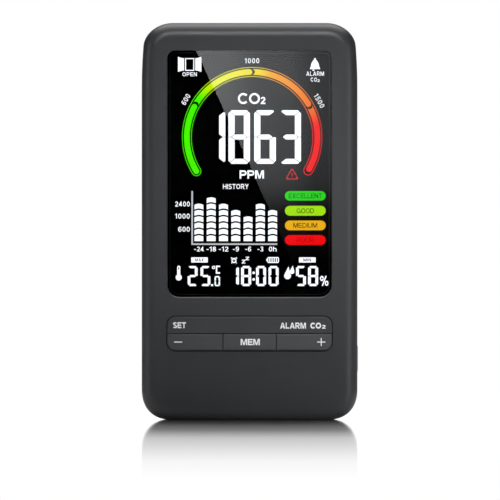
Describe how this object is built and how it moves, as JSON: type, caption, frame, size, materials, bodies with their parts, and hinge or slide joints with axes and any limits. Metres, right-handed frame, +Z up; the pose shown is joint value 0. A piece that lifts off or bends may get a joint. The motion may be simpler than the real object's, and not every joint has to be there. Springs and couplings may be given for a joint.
{
  "type": "carbon dioxide monitor",
  "caption": "Upright desktop carbon dioxide monitor with a tall segment display behind a dark window, a rocker and three keys below it, a side power button and a fold-out rear stand.",
  "frame": {"origin": "middle of the base, on the surface it stands on", "axes": "+Z up, front face towards -Y, +X to the right as seen from the front"},
  "size_m": [0.0818, 0.0271, 0.15],
  "materials": {
    "case": "dark grey moulded plastic with a fine even texture, satin",
    "key": "dark grey moulded plastic, smoother than the case",
    "window": "glossy acrylic, clear over the display and tinted nearly black",
    "lcd": "polarised black glass with lit segments",
    "white_plastic": "white moulded plastic and film",
    "clear_plastic": "clear acrylic",
    "led": "small lamps under clear resin",
    "contact_rubber": "soft striped contact rubber",
    "green_board": "green solder mask over glass fibre",
    "blue_board": "blue solder mask over glass fibre",
    "screw_steel": "plated steel",
    "bright_steel": "ground steel",
    "gold_plate": "gold plating",
    "ivory_plastic": "ivory nylon",
    "black_plastic": "black moulded plastic",
    "black_foam": "black closed-cell foam",
    "tan_parts": "small ceramic parts",
    "filter_paper": "white membrane and tape",
    "battery_foil": "dull silver foil pouch",
    "lead_red": "soft red sleeve",
    "lead_black": "soft black sleeve"
  },
  "bodies": {
    "housing": {"front_shell": "case", "rear_cover": "case", "display_lens": "window", "lens_adhesive": "black_foam", "lcd_glass": "lcd", "diffuser_sheet": "white_plastic", "light_guide": "clear_plastic", "lcd_holder": "white_plastic", "backlight_leds": "led", "contact_strips": "contact_rubber", "main_board": "green_board", "board_screws": "screw_steel", "case_screws": "screw_steel", "rocker_pin": "bright_steel", "key_switches": "black_plastic", "power_switch": "bright_steel", "usb_shell": "bright_steel", "usb_tongue": "black_plastic", "co2_board": "blue_board", "co2_chamber": "gold_plate", "co2_filter": "filter_paper", "co2_pins": "gold_plate", "vent_gasket": "black_foam", "humidity_sensor": "ivory_plastic", "buzzer": "black_plastic", "processor": "black_plastic", "board_parts": "tan_parts", "battery": "battery_foil", "battery_tape": "filter_paper", "battery_lead_red": "lead_red", "battery_lead_black": "lead_black", "battery_plug": "ivory_plastic", "battery_socket": "ivory_plastic", "stand_pin": "bright_steel"},
    "rocker": {"set_alarm_rocker": "key", "rocker_plungers": "ivory_plastic"},
    "minus_button": {"minus_key": "key", "minus_plunger": "ivory_plastic"},
    "mem_button": {"mem_key": "key", "mem_plunger": "ivory_plastic"},
    "plus_button": {"plus_key": "key", "plus_plunger": "ivory_plastic"},
    "power_push": {"power_button": "key", "power_plunger": "black_plastic"},
    "stand_flap": {"stand": "case"}
  },
  "joints": [
    {"name": "rocker_tilt", "type": "hinge", "parent": "housing", "child": "rocker", "pos_m": [0, -0.0091, 0.0364], "axis": [0, 0, 1], "range_deg": [-1.1, 1.1], "stiffness_Nm_per_rad": 0.6},
    {"name": "minus_press", "type": "slide", "parent": "housing", "child": "minus_button", "axis": [0, 1, 0], "range_m": [0, 0.0004], "stiffness_N_per_m": 800, "springref_m": -0.0006},
    {"name": "mem_press", "type": "slide", "parent": "housing", "child": "mem_button", "axis": [0, 1, 0], "range_m": [0, 0.0004], "stiffness_N_per_m": 800, "springref_m": -0.0006},
    {"name": "plus_press", "type": "slide", "parent": "housing", "child": "plus_button", "axis": [0, 1, 0], "range_m": [0, 0.0004], "stiffness_N_per_m": 800, "springref_m": -0.0006},
    {"name": "power_press", "type": "slide", "parent": "housing", "child": "power_push", "axis": [-1, 0, 0], "range_m": [0, 0.0003], "stiffness_N_per_m": 800, "springref_m": -0.0006},
    {"name": "stand_fold", "type": "hinge", "parent": "housing", "child": "stand_flap", "pos_m": [0, 0.0113, 0.076], "axis": [1, 0, 0], "range_deg": [0, 60]}
  ]
}
